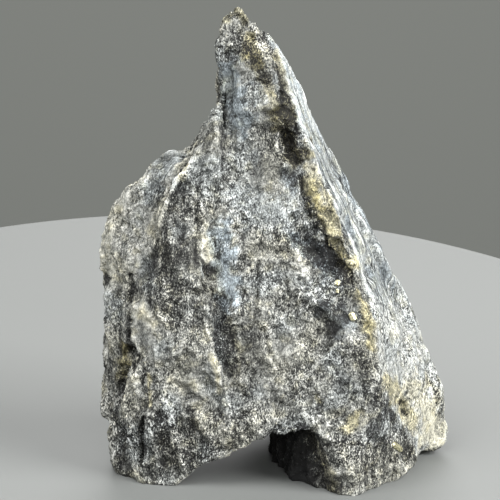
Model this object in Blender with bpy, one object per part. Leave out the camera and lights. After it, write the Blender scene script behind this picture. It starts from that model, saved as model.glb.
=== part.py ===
"""A hand specimen of calaverite ore: one broken peak of grey schist with small brassy crystals in its face.

The stone stands with its tip up on a left foot and a broad right foot, with an arch between them.
+X is to the right, +Y to the back and +Z up. Corners are written in millimetres from the foot of
the front edge. The last step moves the finished specimen so that its origin is the centre of the
stone's box, on the surface that it stands on.
"""
import math

import bpy
import bmesh
from mathutils import Matrix, Vector, noise

MM = 0.001

# The layers of the schist lie parallel to the front face, which leans back.
LEAN_DEG = 16.0
LAYER_NORMAL = Vector((0.0, -math.cos(math.radians(LEAN_DEG)), math.sin(math.radians(LEAN_DEG))))

# The broken surface: wide soft lumps, and flat chips that are broad along the layers and thin across them.
LUMP_SIZE = 6.0
LUMP_DEPTH = 0.26
CHIP_SIZE = 4.0
CHIP_THICKNESS = 1.2
CHIP_DEPTH = 0.24
CHIP_RIM = 0.16
CHIP_MIX = 50.0
GRIT_SIZE = 1.2
GRIT_DEPTH = 0.10

UNION_VOXEL = 0.32
RELIEF_VOXEL = 0.30
STONE_TRIANGLES = 8600
CRYSTAL_GAP = 0.06

# The block that the undersides of the feet are rubbed down with.
FLOOR_WIDTH = 120.0
FLOOR_THICKNESS = 40.0

# Corners of the masses that the stone is made of, (x, y, z).
PEAK_TOP = [
    (-1.2, 14.0, 46.5), (0.6, 14.4, 45.6), (-3.2, 13.4, 45.4), (-3.8, 13.2, 42.3), (-3.4, 12.0, 37.7),
    (1.4, 12.4, 43.4), (2.9, 12.4, 41.9), (4.2, 11.0, 38.0), (5.5, 10.0, 33.6), (7.2, 8.6, 30.0),
    (2.0, 14.6, 44.1), (3.8, 14.6, 41.4), (6.8, 14.4, 35.1), (8.6, 14.2, 30.6), (10.5, 14.0, 28.0),
    (-1.6, 16.2, 44.6), (1.8, 16.8, 41.2), (-3.1, 15.6, 41.2), (-2.6, 16.6, 36.0), (5.0, 17.6, 32.0),
    (-2.6, 9.6, 31.5), (-3.0, 16.8, 30.0), (-2.6, 8.4, 28.0),
]
PEAK = [
    (5.3, 10.0, 33.4), (7.2, 8.6, 30.0), (9.2, 7.2, 26.0), (10.7, 5.8, 21.4), (12.3, 4.4, 17.3),
    (12.9, 3.4, 14.0), (13.4, 2.8, 9.5), (8.6, 14.2, 30.6), (10.5, 14.0, 28.0), (12.5, 13.8, 23.9),
    (14.3, 13.4, 20.4), (16.2, 12.8, 16.3), (18.3, 12.2, 11.8), (19.9, 11.8, 7.4), (-2.4, 9.9, 32.6),
    (-4.5, 8.6, 29.0), (-3.6, 5.2, 15.6), (-1.6, 3.4, 8.8), (0.5, 2.3, 4.4), (6.0, 1.4, 6.6),
    (10.0, 0.9, 3.0), (-4.4, 16.4, 31.4), (5.0, 18.0, 32.0), (10.0, 18.0, 22.0), (15.0, 16.6, 10.0),
    (17.0, 15.2, 3.0), (2.0, 19.0, 12.0), (4.0, 18.0, 2.0), (-9.0, 17.2, 22.0), (-8.0, 16.5, 6.0),
]
SLAB = [
    (-3.1, 10.4, 38.0), (-4.3, 10.6, 36.3), (-5.2, 10.8, 34.4), (-5.8, 11.0, 33.1), (-2.7, 10.0, 37.0),
    (-2.6, 9.3, 34.6), (-3.4, 7.8, 29.0), (-4.3, 6.6, 25.4), (-6.8, 9.0, 31.4), (-8.3, 7.6, 28.6),
    (-8.9, 6.6, 25.3), (-8.4, 5.8, 21.6), (-4.4, 5.6, 21.8), (-3.4, 13.4, 36.6), (-6.0, 14.0, 33.0),
    (-8.0, 13.0, 24.0), (-3.0, 13.0, 24.0),
]
SHOULDER = [
    (-5.9, 12.6, 32.4), (-8.5, 13.4, 32.0), (-9.6, 13.3, 30.9), (-10.6, 13.2, 29.3), (-13.2, 12.8, 27.1),
    (-14.3, 12.4, 25.9), (-15.4, 11.8, 22.1), (-15.5, 11.4, 20.8), (-15.0, 10.8, 18.4), (-6.8, 9.7, 31.3),
    (-8.4, 8.3, 28.5), (-9.2, 7.2, 25.2), (-10.0, 6.2, 19.6), (-8.0, 16.6, 30.0), (-13.0, 16.0, 22.0),
    (-12.6, 14.6, 10.0), (-6.0, 16.0, 10.0),
]
FLANK = [
    (-14.9, 10.6, 19.4), (-15.0, 9.8, 13.9), (-15.3, 8.9, 9.9), (-15.4, 8.5, 7.9), (-15.2, 8.4, 6.0),
    (-14.3, 8.0, 5.0), (-10.4, 6.6, 19.4), (-12.2, 5.6, 11.5), (-12.0, 14.5, 18.0), (-12.6, 14.6, 5.4),
    (-6.0, 14.0, 18.0), (-6.0, 13.0, 6.0),
]
LOBE = [
    (-4.6, 5.4, 21.8), (-4.4, 3.7, 17.4), (-2.5, 2.0, 12.1), (-1.6, 1.3, 7.4), (-2.6, 1.2, 1.8),
    (-4.5, 1.3, 0.2), (-8.0, 1.8, -1.6), (-11.0, 2.4, -1.6), (-13.5, 4.4, -1.6), (-14.3, 5.8, -0.2),
    (-14.6, 6.2, 1.3), (-14.8, 6.6, 3.6), (-14.3, 7.0, 5.2), (-12.1, 4.2, 11.5), (-12.0, 6.0, 18.3),
    (-8.9, 6.2, 25.0), (-13.4, 12.6, 4.0), (-12.2, 13.2, -1.6), (-5.0, 13.0, -1.6), (-3.0, 12.0, 4.0),
    (-4.0, 12.0, 20.0),
]
BELLY = [
    (-2.4, 5.0, 18.8), (-0.8, 2.2, 10.0), (-3.6, 1.3, 1.6), (0.6, 1.2, 3.0), (3.4, 1.0, 4.2),
    (6.2, 0.8, 5.8), (9.2, -1.0, -1.6), (10.4, -0.9, -1.6), (11.6, 0.6, 4.0), (12.6, 2.2, 10.0),
    (12.0, 3.2, 15.6), (6.0, 4.4, 20.0), (1.0, 5.2, 21.0), (3.0, 9.0, 14.0), (9.0, 9.0, -1.6),
    (0.0, 9.0, 6.0),
]
RIGHT_FOOT = [
    (9.2, -1.1, -1.6), (10.2, -1.1, -1.6), (11.6, -0.3, -1.6), (13.6, 1.6, -1.6), (15.4, 3.9, -1.6),
    (16.3, 6.0, -1.6), (17.3, 8.3, -1.6), (17.5, 8.3, 1.4), (16.2, 6.2, 4.2), (14.5, 4.0, 7.6),
    (13.6, 2.9, 10.0), (12.0, 3.0, 14.0), (17.0, 14.0, -1.6), (17.0, 13.0, 8.0), (6.0, 9.0, -1.6),
    (2.0, 11.6, -1.6), (2.0, 17.0, -1.6), (12.0, 17.0, -1.6), (12.0, 12.0, 16.0), (2.4, 17.0, 8.0),
    (3.0, 11.0, 8.0),
]
FAR_LOBE = [
    (17.6, 8.9, 0.2), (18.8, 9.5, 0.0), (20.7, 10.9, 0.6), (21.2, 11.7, 3.0), (20.7, 11.8, 7.0),
    (18.4, 9.4, 1.4), (15.6, 6.6, 6.8), (16.6, 15.2, 0.4), (19.6, 14.0, 0.8), (19.9, 13.8, 5.0),
    (15.0, 10.0, 12.0), (14.0, 15.0, 12.0),
]
OCHRE_BAND = [
    (5.2, 10.3, 33.2), (5.0, 8.6, 28.8), (6.4, 7.4, 26.0), (8.6, 6.0, 22.8), (10.2, 5.0, 19.6),
    (11.6, 4.2, 17.0), (12.4, 4.1, 17.0), (10.9, 5.2, 21.6), (9.4, 6.5, 26.2), (7.4, 8.0, 30.2),
    (9.0, 12.0, 24.0), (6.0, 12.0, 31.0),
]
TIP_KNOB = [
    (-2.4, 13.0, 46.2), (-1.2, 13.4, 47.3), (-0.3, 13.4, 46.6), (-3.3, 13.2, 45.6), (-1.4, 15.4, 46.9),
    (-3.1, 15.2, 45.4), (0.8, 14.6, 45.4), (-1.6, 13.2, 43.0),
]
BACK_LEDGE = [
    (-7.0, 17.0, 25.0), (2.0, 19.0, 28.0), (7.0, 18.6, 20.0), (8.0, 19.4, 8.0), (-2.0, 19.6, 6.0),
    (-8.0, 17.6, 12.0), (-4.0, 13.0, 24.0), (4.0, 13.0, 8.0),
]
MASSES = [
    PEAK_TOP, PEAK, SLAB, SHOULDER, FLANK, LOBE, BELLY, RIGHT_FOOT, FAR_LOBE, OCHRE_BAND, TIP_KNOB,
    BACK_LEDGE,
]

# What broke away: the arch under the stone, and its cracks and pockets.
ARCH = [
    (-7.0, -3.0, -2.0), (-7.6, 2.0, -2.0), (-3.6, -1.0, 1.8), (6.2, -1.0, 4.4), (9.2, -2.4, -2.0),
    (9.2, -1.0, -2.0), (1.6, 11.6, -2.0), (-4.0, 22.0, -2.0), (6.3, 1.4, 6.6), (0.4, 12.0, 6.2),
    (-4.6, 22.0, 6.0), (-10.6, 22.0, -2.0), (-10.0, 22.0, 4.4), (-3.0, 5.4, 4.5), (-7.4, 13.0, 4.8),
]
POCKET = [
    (2.2, 9.0, 36.1), (3.3, 8.6, 36.3), (4.8, 7.6, 32.8), (5.7, 7.2, 30.6), (4.5, 7.0, 30.2),
    (3.2, 8.0, 31.8), (3.4, 12.5, 35.2), (4.9, 11.9, 31.6),
]
UNDERCUT = [
    (6.4, 5.0, 25.4), (7.8, 5.0, 25.2), (9.6, 3.6, 22.6), (10.3, 3.0, 20.6), (8.8, 2.6, 20.2),
    (6.6, 3.6, 21.6), (9.3, 8.0, 22.4), (7.6, 8.4, 24.9), (9.0, 7.2, 20.9),
]
LOBE_CRACK = [
    (-11.1, 0.6, 6.6), (-10.7, 0.6, 6.6), (-10.6, 0.0, 2.0), (-11.0, 0.0, 1.4), (-11.5, 0.2, 3.4),
    (-10.8, 5.2, 5.4), (-10.9, 4.6, 2.6),
]
SLAB_CRACK = [
    (-2.85, 8.0, 38.9), (-2.45, 8.0, 38.9), (-2.2, 8.0, 35.2), (-2.5, 8.0, 34.6), (-2.7, 11.9, 38.6),
    (-2.4, 11.2, 35.2),
]
FLANK_CLEFT = [
    (-12.8, 4.0, 15.4), (-12.2, 4.0, 15.6), (-12.4, 4.0, 9.0), (-13.6, 5.6, 6.0), (-14.2, 5.6, 6.4),
    (-12.6, 7.8, 12.6), (-13.4, 8.2, 8.0),
]
VALLEY_STEP = [
    (-3.6, 2.0, 22.0), (-2.9, 2.0, 22.2), (-1.4, 0.6, 12.6), (-1.9, 0.6, 11.8), (-4.3, 2.4, 17.0),
    (-3.2, 6.0, 20.6), (-2.3, 3.7, 13.4),
]
CUTS = {
    "arch": ARCH, "pocket": POCKET, "undercut": UNDERCUT, "lobe_crack": LOBE_CRACK, "slab_crack": SLAB_CRACK,
    "flank_cleft": FLANK_CLEFT, "valley_step": VALLEY_STEP,
}
# The left side of the broad foot, which juts into the arch.
FOOT_CHEEK = [
    (1.8, 11.6, -1.6), (1.8, 9.7, -1.6), (2.7, 6.2, -1.6), (3.8, 3.8, -1.6), (5.1, 1.8, -1.6),
    (6.0, 1.2, -1.6), (7.0, 1.0, -1.6), (5.4, 3.0, 6.4), (4.6, 6.0, 7.0), (2.4, 11.6, 7.0), (8.0, 9.0, -1.6),
    (8.0, 9.0, 7.4), (2.0, 16.0, -1.6), (2.4, 16.0, 6.6), (7.0, 3.0, 7.4),
]
# Round pits: centre, half widths.
PITS = {
    "ochre_pit": ((-12.3, 4.8, 12.7), (0.62, 1.7, 1.3)),
    "left_notch": ((-15.5, 10.6, 19.6), (0.8, 1.2, 0.55)),
    "corner_notch": ((-14.6, 6.6, 4.9), (0.7, 1.6, 0.45)),
    "foot_vug": ((15.8, 4.7, 6.2), (0.35, 0.8, 0.35)),
    "back_scoop": ((3.0, 24.0, 26.0), (9.0, 7.4, 12.0)),
    "back_hollow": ((-10.0, 21.5, 9.0), (6.0, 6.0, 9.0)),
}
# Calaverite: where a level line from the front meets the stone (x, z), then length, width and turn.
CRYSTALS = {
    "calaverite_crystal_1": ((8.7, 20.35), 0.62, 0.45, 20.0),
    "calaverite_crystal_2": ((8.7, 19.6), 0.40, 0.34, 0.0),
    "calaverite_crystal_3": ((10.2, 17.1), 0.85, 0.62, -25.0),
    "calaverite_crystal_4": ((14.85, 3.3), 2.1, 0.58, 127.0),
}
# A crystal's form: where its chisel ends begin and how narrow they end, as shares of its half sizes, how
# thick it is for its width, and the corners of its cross-section.
BLADE_END = 0.7
BLADE_THICKNESS = 0.8
CHISEL_WIDTH = 0.5
BLADE_SECTION = [(-1.0, -0.35), (1.0, -0.3), (0.9, 0.5), (-0.95, 0.45), (0.1, -1.0), (0.0, 1.0)]

STONE_GREY = (0.17, 0.175, 0.18, 1.0)
CALAVERITE = (0.83, 0.74, 0.48, 1.0)


def clear_scene():
    for obj in list(bpy.data.objects):
        bpy.data.objects.remove(obj, do_unlink=True)


def material(name, colour, roughness, metallic):
    made = bpy.data.materials.new(name)
    made.use_nodes = True
    shader = made.node_tree.nodes["Principled BSDF"]
    shader.inputs["Base Color"].default_value = colour
    shader.inputs["Roughness"].default_value = roughness
    shader.inputs["Metallic"].default_value = metallic
    return made


def object_of(name, bm):
    mesh = bpy.data.meshes.new(name)
    bm.to_mesh(mesh)
    bm.free()
    obj = bpy.data.objects.new(name, mesh)
    bpy.context.scene.collection.objects.link(obj)
    return obj


def hull_into(bm, corners):
    """Adds the convex mass that these corners, in millimetres, wrap."""
    verts = [bm.verts.new(Vector(corner) * MM) for corner in corners]
    made = bmesh.ops.convex_hull(bm, input=verts)
    loose = [v for v in made["geom_interior"] + made["geom_unused"] if isinstance(v, bmesh.types.BMVert)]
    bmesh.ops.delete(bm, geom=list(set(loose)), context="VERTS")


def hull(corners):
    bm = bmesh.new()
    hull_into(bm, corners)
    bmesh.ops.recalc_face_normals(bm, faces=bm.faces)
    return bm


def pit(centre, half_widths):
    bm = bmesh.new()
    where = Matrix.Translation(Vector(centre) * MM)
    size = Matrix.Diagonal((*[width * MM for width in half_widths], 1.0))
    bmesh.ops.create_icosphere(bm, subdivisions=3, radius=1.0, matrix=where @ size)
    return bm


def helper(name, bm):
    """An object that shapes the stone and is no part of it."""
    obj = object_of(name, bm)
    obj.hide_render = True
    obj.display_type = "WIRE"
    return obj


def combine(obj, tool, operation):
    modifier = obj.modifiers.new(tool.name, "BOOLEAN")
    modifier.operation = operation
    modifier.solver = "EXACT"
    modifier.object = tool


def apply_modifiers(obj):
    bpy.context.view_layer.update()
    graph = bpy.context.evaluated_depsgraph_get()
    shaped = bpy.data.meshes.new_from_object(obj.evaluated_get(graph), depsgraph=graph)
    obj.modifiers.clear()
    obj.data = shaped


def remesh(obj, voxel):
    modifier = obj.modifiers.new("one body", "REMESH")
    modifier.mode = "VOXEL"
    modifier.voxel_size = voxel * MM


def wear_edges(obj, factor):
    modifier = obj.modifiers.new("worn edges", "SMOOTH")
    modifier.factor = factor
    modifier.iterations = 1


def chip_height(place):
    """How far the chip at a place stands out, from -1 to 1, sloping to its neighbours over a narrow rim."""
    across = place.dot(LAYER_NORMAL)
    squeezed = place + LAYER_NORMAL * across * (CHIP_SIZE / CHIP_THICKNESS - 1.0)
    spacing, centres = noise.voronoi(squeezed / CHIP_SIZE)
    heights = [noise.cell(centre * CHIP_MIX) * 2.0 - 1.0 for centre in centres[:2]]
    share = 0.5 * max(0.0, 1.0 - (spacing[1] - spacing[0]) / CHIP_RIM)
    return heights[0] * (1.0 - share) + heights[1] * share


def break_surface(obj):
    """Moves the surface in and out along its own normals, as the rock broke."""
    bm = bmesh.new()
    bm.from_mesh(obj.data)
    bm.normal_update()
    moves = []
    for vert in bm.verts:
        place = vert.co / MM
        height = noise.noise(place / LUMP_SIZE) * LUMP_DEPTH
        height += chip_height(place) * CHIP_DEPTH
        height += noise.noise(place / GRIT_SIZE) * GRIT_DEPTH
        moves.append(vert.normal * height * MM)
    for vert, move in zip(bm.verts, moves):
        vert.co += move
    bm.to_mesh(obj.data)
    bm.free()
    remesh(obj, RELIEF_VOXEL)
    apply_modifiers(obj)


def thin_out(obj, triangles):
    """Fewer faces, keeping the form."""
    count = sum(len(face.vertices) - 2 for face in obj.data.polygons)
    modifier = obj.modifiers.new("fewer faces", "DECIMATE")
    modifier.ratio = triangles / count
    modifier.use_collapse_triangulate = True
    apply_modifiers(obj)


def stone():
    bm = bmesh.new()
    for corners in MASSES:
        hull_into(bm, corners)
    bmesh.ops.recalc_face_normals(bm, faces=bm.faces)
    obj = object_of("schist_matrix", bm)
    remesh(obj, UNION_VOXEL)
    wear_edges(obj, 0.5)
    apply_modifiers(obj)
    for name, corners in CUTS.items():
        combine(obj, helper("cut_" + name, hull(corners)), "DIFFERENCE")
    for name, (centre, half_widths) in PITS.items():
        combine(obj, helper("cut_" + name, pit(centre, half_widths)), "DIFFERENCE")
    combine(obj, helper("add_foot_cheek", hull(FOOT_CHEEK)), "UNION")
    remesh(obj, RELIEF_VOXEL)
    wear_edges(obj, 0.4)
    apply_modifiers(obj)
    break_surface(obj)
    thin_out(obj, STONE_TRIANGLES)
    return obj


def flatten_feet(obj):
    """Rubs the stone down on the plane z = 0, which leaves the feet that it stands on."""
    bm = bmesh.new()
    lowered = Matrix.Translation((0.0, 0.0, -FLOOR_THICKNESS / 2 * MM))
    size = Matrix.Diagonal((FLOOR_WIDTH * MM, FLOOR_WIDTH * MM, FLOOR_THICKNESS * MM, 1.0))
    bmesh.ops.create_cube(bm, size=1.0, matrix=lowered @ size)
    combine(obj, helper("cut_below_feet", bm), "DIFFERENCE")
    apply_modifiers(obj)


def crystal(length, width, grow):
    """A short flat blade with chisel ends, its faces pushed out by grow, all in millimetres."""
    half_long = length / 2 + grow
    half_wide = width / 2 + grow
    half_thick = BLADE_THICKNESS * width / 2 + grow
    corners = []
    for z in (-half_long, half_long):
        for x in (-half_wide * CHISEL_WIDTH, half_wide * CHISEL_WIDTH):
            corners += [(x, -half_thick * CHISEL_WIDTH, z), (x, half_thick * CHISEL_WIDTH, z)]
    for z in (-half_long * BLADE_END, half_long * BLADE_END):
        corners += [(x * half_wide, y * half_thick, z) for x, y in BLADE_SECTION]
    return hull(corners)


def seat(stone_obj, place, turn):
    """Where a level line from the front meets the stone, as a matrix whose Y runs into the stone."""
    start = Vector((place[0] * MM, -30.0 * MM, place[1] * MM))
    hit, spot, normal, _ = stone_obj.ray_cast(start, Vector((0.0, 1.0, 0.0)))
    if not hit:
        raise ValueError(f"no stone in front of x {place[0]}, z {place[1]}")
    inward = -normal
    facing = inward.to_track_quat("Y", "Z").to_matrix().to_4x4()
    return Matrix.Translation(spot) @ facing @ Matrix.Rotation(math.radians(turn), 4, "Y")


def set_crystals(stone_obj, finish):
    made = []
    for name, (place, length, width, turn) in CRYSTALS.items():
        where = seat(stone_obj, place, turn)
        socket = crystal(length, width, CRYSTAL_GAP)
        bmesh.ops.transform(socket, matrix=where, verts=socket.verts)
        combine(stone_obj, helper("cut_" + name, socket), "DIFFERENCE")
        body = object_of(name, crystal(length, width, 0.0))
        body.matrix_world = where
        body.data.materials.append(finish)
        made.append(body)
    apply_modifiers(stone_obj)
    return made


def stand_on_origin(stone_obj, crystals):
    """One empty carries all the pieces, and moves the centre of the stone's box over the origin."""
    specimen = bpy.data.objects.new("specimen", None)
    bpy.context.scene.collection.objects.link(specimen)
    for obj in [stone_obj, *crystals]:
        obj.parent = specimen
    xs = [v.co.x for v in stone_obj.data.vertices]
    ys = [v.co.y for v in stone_obj.data.vertices]
    specimen.location = (-(min(xs) + max(xs)) / 2, -(min(ys) + max(ys)) / 2, 0.0)


def build():
    clear_scene()
    rock = material("schist", STONE_GREY, 0.75, 0.0)
    brassy = material("calaverite", CALAVERITE, 0.28, 1.0)
    matrix_stone = stone()
    matrix_stone.data.materials.clear()
    matrix_stone.data.materials.append(rock)
    flatten_feet(matrix_stone)
    crystals = set_crystals(matrix_stone, brassy)
    stand_on_origin(matrix_stone, crystals)


build()
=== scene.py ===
"""The looks of a calaverite hand specimen: a broken peak of grey mica schist with small brassy crystals."""
import math

import bmesh
import bpy
import numpy as np
from mathutils import Matrix, Vector, noise
from mathutils.bvhtree import BVHTree


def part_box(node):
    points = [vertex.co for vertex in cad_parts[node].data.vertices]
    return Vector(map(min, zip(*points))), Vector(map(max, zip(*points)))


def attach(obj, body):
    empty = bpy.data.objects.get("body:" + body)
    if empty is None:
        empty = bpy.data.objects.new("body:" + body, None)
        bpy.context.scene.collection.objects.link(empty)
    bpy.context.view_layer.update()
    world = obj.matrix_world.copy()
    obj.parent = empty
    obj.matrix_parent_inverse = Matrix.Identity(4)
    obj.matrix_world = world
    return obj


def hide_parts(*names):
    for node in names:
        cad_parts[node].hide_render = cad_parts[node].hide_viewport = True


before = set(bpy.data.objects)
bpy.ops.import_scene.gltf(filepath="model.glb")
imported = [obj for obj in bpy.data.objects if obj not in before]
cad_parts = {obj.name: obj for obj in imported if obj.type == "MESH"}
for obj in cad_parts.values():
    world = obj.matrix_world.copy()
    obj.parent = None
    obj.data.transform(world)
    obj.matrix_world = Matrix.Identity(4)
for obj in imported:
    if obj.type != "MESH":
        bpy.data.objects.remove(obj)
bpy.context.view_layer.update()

MM = 0.001

# The photograph's camera: how high it looks from, how far off it stands, and the point that it looks at.
PHOTO_SIZE = 500.0
PHOTO_CENTRE = PHOTO_SIZE / 2
CAMERA_HEIGHT_DEG = 18.0
CAMERA_DISTANCE = 260.0 * MM
LENS = 187.2
SENSOR = 36.0
LOOKS_AT = Vector((-2.64, -1.43, 23.0)) * MM
RISE = math.radians(CAMERA_HEIGHT_DEG)
TOWARD_CAMERA = Vector((0.0, -math.cos(RISE), math.sin(RISE)))
CAMERA_UP = Vector((0.0, math.sin(RISE), math.cos(RISE)))
EYE = LOOKS_AT + TOWARD_CAMERA * CAMERA_DISTANCE
# How wide one pixel is at a distance of 1 from the eye.
PIXEL_SPREAD = SENSOR / LENS / PHOTO_SIZE

# The layers of the schist lean back with the front face; these directions run across them and up along them.
LAYER_LEAN_DEG = 16.0
LEAN = math.radians(LAYER_LEAN_DEG)
ACROSS_LAYERS = np.array((0.0, -math.cos(LEAN), math.sin(LEAN)))
UP_THE_LAYERS = np.array((0.0, math.sin(LEAN), math.cos(LEAN)))
# Marks down the face fan out from this height.
FAN_TOP = 46.0 * MM
FAN_SPREAD = 1.5

# The stone's fine skin, just coarse enough to stay under 200,000 triangles.
STONE_VOXEL = 0.222 * MM
SMOOTHING_STEPS = 3
# What stands out from the skin around it is made paler, as wear, and what lies low is made darker, as dirt and
# painted
# shade: how many steps of the mesh "around" reaches, the value that a millimetre is worth, what is taken off it,
# and the most that it may change.
PROUD_REACH = 14
WEAR_AND_SHADE_GAIN = 0.9
WEAR_AND_SHADE_USUAL = 0.04
WEAR_AND_SHADE_MOST = 0.08
# The skin keeps still on the floor, and moves freely from the second height up.
STILL_BELOW, FREE_ABOVE = 0.15 * MM, 0.9 * MM

# How far from a crystal's centre the rock may touch it, the rim around it that stays bare, and the slopes that the
# rock's relief and the loose grains take to end there.
CRYSTAL_REACH = 2.0 * MM
CRYSTAL_RIM = 0.12 * MM
RELIEF_SLOPE = 0.5 * MM
GRAIN_SLOPE = 0.05 * MM

# The most grains in a piece, at 12 triangles each, and the height that they start from.
GRAINS_IN_A_PIECE = 15500
LOWEST_GRAIN = 0.3 * MM
# How much they tilt, their smallest and largest size, how thick they are and how far they stand out, all three in
# millimetres. Quartz and feldspar are blocky and nearly flush; mica flakes are thin and turned more.
QUARTZ_GRAINS = {"tilt": 0.12, "sizes": (0.13, 0.30), "thickness": 0.12, "stands_out": (-0.02, 0.02)}
MICA_FLAKES = {"tilt": 0.30, "sizes": (0.12, 0.28), "thickness": 0.06, "stands_out": (-0.01, 0.03)}
QUARTZ_SEEDS = (20, 21, 22)
MICA_SEED = 30

# The lines on the crystals lie this far from upright.
STRIATION_TURN_DEG = -35.0

# The floor's oval, the backdrop, the world's even light, and the soft lights: azimuth, height, distance, size and
# power, with the angles in degrees and the azimuth from the camera towards the right.
FLOOR_CENTRE = (-0.012, -0.032, 0.0)
FLOOR_RADII = (0.075, 0.117)
BACKDROP_CENTRE = (0.0, 0.9, 0.0)
BACKDROP_SIZE = 2.0
WORLD_COLOUR = (0.32, 0.33, 0.33, 1.0)
WORLD_STRENGTH = 0.5
LIGHTS = {
    "key from the right": (70.0, 34.0, 0.55, 0.3, 7.0),
    "fill from the left": (-55.0, 62.0, 0.6, 0.4, 5.6),
    "weak front light": (8.0, 30.0, 0.7, 0.4, 2.2),
    "weak light from behind": (172.0, 38.0, 0.7, 0.5, 4.0),
}

# The rock's value where no face is listed below. A face's border is this many pixels wide to each side, and wanders
# by up to about the next number of them; the right face's border is sharper.
PLAIN_VALUE = 0.44
FACE_BORDER = 4.0
FACE_WANDER = 6.0
RIGHT_FACE_WANDER = 1.5

# The corners of the right face, which cuts the layers, in the photograph's pixels.
RIGHT_FACE = [
    (262, 20), (277, 40), (300, 75), (315, 110), (340, 160), (370, 210), (395, 260), (415, 310), (445, 380),
    (455, 420), (450, 455), (418, 457), (406, 430), (392, 409), (379, 376), (376, 337), (372, 302), (358, 272),
    (348, 238), (330, 192), (318, 165), (306, 140), (297, 118), (288, 84), (280, 60), (268, 40),
]
# Its value, and how much paler it gets towards the top, between the first two rows of pixels. Below the other two
# it is whiter and plainer.
RIGHT_FACE_VALUE = 0.53
SIDE_TOP_GAIN = 0.20
SIDE_TOP_ROWS = (110.0, 170.0)
LOW_SIDE_ROWS = (270.0, 340.0)
# The front is fibrous like bark on the left, and less so between these columns and beyond.
BARK_COLUMNS = (205.0, 240.0)
# The other faces that the photograph shows, as corners in its pixels, each with its value from black to white and
# with how strongly it is speckled.
FACES = {
    "tip": (
        [(215, 20), (262, 20), (280, 60), (262, 70), (240, 62), (214, 64)],
        0.345, 1.25,
    ),
    "upper front": (
        [(212, 62), (245, 62), (262, 85), (276, 120), (280, 168), (250, 172), (222, 165), (218, 98)],
        0.415, 0.9,
    ),
    "slab": (
        [(218, 96), (224, 130), (222, 170), (205, 190), (190, 160), (188, 145), (206, 110)],
        0.44, 0.85,
    ),
    "white step": (
        [(222, 188), (262, 176), (300, 186), (306, 226), (290, 246), (240, 240), (212, 222)],
        0.535, 1.0,
    ),
    "middle": (
        [(230, 240), (290, 244), (345, 280), (360, 340), (300, 350), (232, 320)],
        0.50, 0.95,
    ),
    "lower middle": (
        [(236, 330), (350, 345), (372, 390), (345, 425), (300, 428), (220, 455), (214, 400)],
        0.455, 0.9,
    ),
    "shoulder": (
        [(194, 140), (160, 140), (100, 195), (92, 260), (104, 288), (124, 292), (152, 250), (164, 205), (178, 168)],
        0.655, 0.7,
    ),
    "strip": (
        [(188, 168), (206, 200), (203, 262), (206, 318), (190, 335), (152, 330), (140, 290), (155, 250),
         (163, 215), (174, 186)],
        0.335, 1.15,
    ),
    # The valley: dark slate, with painted shade in its crease.
    "valley": (
        [(202, 258), (216, 240), (228, 300), (240, 372), (226, 376), (206, 320)],
        0.31, 1.0,
    ),
    "left edge": (
        [(96, 286), (127, 296), (128, 345), (98, 360)],
        0.50, 1.0,
    ),
    "left middle": (
        [(128, 300), (190, 330), (206, 330), (222, 385), (214, 402), (120, 402)],
        0.555, 1.0,
    ),
    "left foot": (
        [(96, 400), (214, 396), (222, 436), (212, 470), (168, 495), (100, 485)],
        0.47, 1.25,
    ),
    "right foot": (
        [(334, 430), (378, 392), (408, 430), (420, 458), (400, 480), (344, 500), (330, 466)],
        0.42, 1.2,
    ),
    # The arch's inner wall: painted shade, with its value below black.
    "arch wall": (
        [(262, 440), (306, 424), (318, 470), (322, 500), (262, 500)],
        -0.25, 0.9,
    ),
    "foot cheek": (
        [(303, 430), (313, 427), (332, 458), (346, 498), (318, 497), (311, 474)],
        0.22, 1.0,
    ),
}

# A stroke is followed over the stone in steps of this many pixels, and is broken where a step is longer than this.
STROKE_STEP = 6.0
STROKE_BREAK = 3.0 * MM
# What else it shows, as strokes in its pixels, each with its half width in millimetres and its strength.
# Ochre: iron stains on the tip, down the edge of the right face, in the pit on the left and low on the right.
OCHRE_STROKES = [
    ([(223, 20), (232, 12), (240, 11), (247, 18)], 0.6, 0.6),
    ([(248, 42), (253, 54), (259, 64)], 0.75, 0.9),
    ([(260, 73), (267, 81)], 0.5, 0.6),
    ([(268, 82), (273, 96), (277, 106)], 0.45, 0.5),
    ([(277, 50), (281, 70), (286, 95), (290, 108)], 0.45, 0.5),
    ([(280, 114), (290, 132), (298, 156)], 1.1, 0.9),
    ([(304, 164), (318, 182)], 0.7, 0.35),
    ([(314, 190), (319, 208)], 0.75, 1.0),
    ([(308, 184), (319, 206), (328, 228), (334, 238)], 0.9, 0.75),
    ([(330, 232), (340, 248), (350, 264)], 0.7, 0.8),
    ([(321, 184), (330, 206), (339, 230)], 0.6, 0.6),
    ([(358, 288), (364, 306), (369, 324), (373, 346)], 0.55, 0.85),
    ([(388, 384), (398, 398), (406, 410), (410, 424)], 1.1, 0.6),
    ([(412, 396), (430, 410), (434, 440)], 1.8, 0.3),
    ([(347, 429), (352, 423), (357, 416)], 0.55, 0.75),
    ([(122, 346), (123, 372)], 0.8, 1.0),
    ([(149, 375), (149, 390), (151, 405)], 0.25, 0.7),
    ([(211, 356), (216, 372), (218, 392)], 0.3, 0.35),
    ([(175, 380), (190, 384)], 0.8, 0.12),
    ([(140, 312), (150, 320)], 0.6, 0.25),
    ([(184, 164), (181, 178)], 0.5, 0.3),
    ([(206, 240), (210, 256)], 0.4, 0.35),
    ([(317, 397), (320, 402)], 0.25, 0.7),
    ([(310, 432), (320, 458), (334, 490)], 0.8, 0.5),
    ([(228, 320), (240, 350), (238, 372)], 0.3, 0.3),
    ([(346, 268), (357, 285)], 0.5, 0.4),
]
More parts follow.
